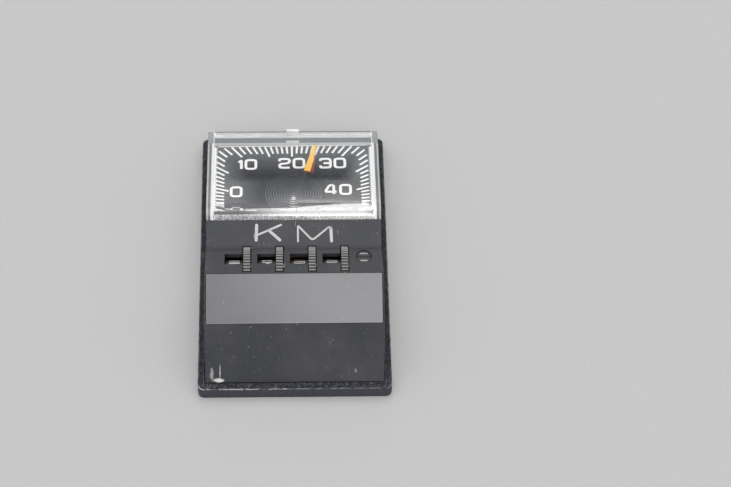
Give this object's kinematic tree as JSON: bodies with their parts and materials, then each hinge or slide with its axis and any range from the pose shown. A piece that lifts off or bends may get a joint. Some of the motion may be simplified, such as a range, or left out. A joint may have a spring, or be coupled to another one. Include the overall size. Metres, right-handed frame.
{
  "type": "dashboard dial thermometer",
  "caption": "Stick-on dashboard dial thermometer with a clear fluted cover, a swinging pointer and a row of knurled thumbwheels that set a distance reminder by hand.",
  "frame": {"origin": "middle of the mounting face, on the plane that the object is stuck to", "axes": "+X to the reader's right, +Y away from the reader towards the dial, +Z out of the mounting face"},
  "size_m": [0.045, 0.074, 0.0157],
  "materials": {
    "black_plastic": "satin moulded",
    "pad_foam": "matte foam",
    "satin_grey": "satin",
    "clear_plastic": "clear polished",
    "dial_black": "matte printed",
    "pointer_black": "matte",
    "signal_orange": "satin",
    "brass": "bright turned",
    "steel": "bright"
  },
  "bodies": {
    "case": {"base_plate": "black_plastic", "mounting_pads": "pad_foam", "housing_shell": "black_plastic", "name_plate": "satin_grey", "window_cover": "clear_plastic", "dial_plate": "dial_black", "movement_bridge": "brass", "bridge_screws": "steel", "upper_bush": "brass", "lower_bush": "brass", "bimetal_coil": "brass", "coil_anchor": "steel", "wheel_axle": "steel", "brake_spring": "brass", "brake_rivets": "steel", "housing_screw": "steel"},
    "pointer": {"pointer_arbor": "steel", "coil_collet": "brass", "pointer_arm": "pointer_black", "pointer_flag": "signal_orange"},
    "wheel_1": {"number_wheel_1": "black_plastic"},
    "wheel_2": {"number_wheel_2": "black_plastic"},
    "wheel_3": {"number_wheel_3": "black_plastic"},
    "wheel_4": {"number_wheel_4": "black_plastic"}
  },
  "joints": [
    {"name": "pointer_swing", "type": "hinge", "parent": "case", "child": "pointer", "pos_m": [0, 0.01112, 0.00962], "axis": [0, -0.1426, -0.9898], "range_deg": [-118.3, 83.9], "stiffness_Nm_per_rad": 0.0001},
    {"name": "wheel_1_spin", "type": "hinge", "parent": "case", "child": "wheel_1", "pos_m": [-0.01419, -0.00398, 0.00595], "axis": [1, 0, 0], "continuous": true},
    {"name": "wheel_2_spin", "type": "hinge", "parent": "case", "child": "wheel_2", "pos_m": [-0.00644, -0.00398, 0.00595], "axis": [1, 0, 0], "continuous": true},
    {"name": "wheel_3_spin", "type": "hinge", "parent": "case", "child": "wheel_3", "pos_m": [0.00131, -0.00398, 0.00595], "axis": [1, 0, 0], "continuous": true},
    {"name": "wheel_4_spin", "type": "hinge", "parent": "case", "child": "wheel_4", "pos_m": [0.00906, -0.00398, 0.00595], "axis": [1, 0, 0], "continuous": true}
  ]
}
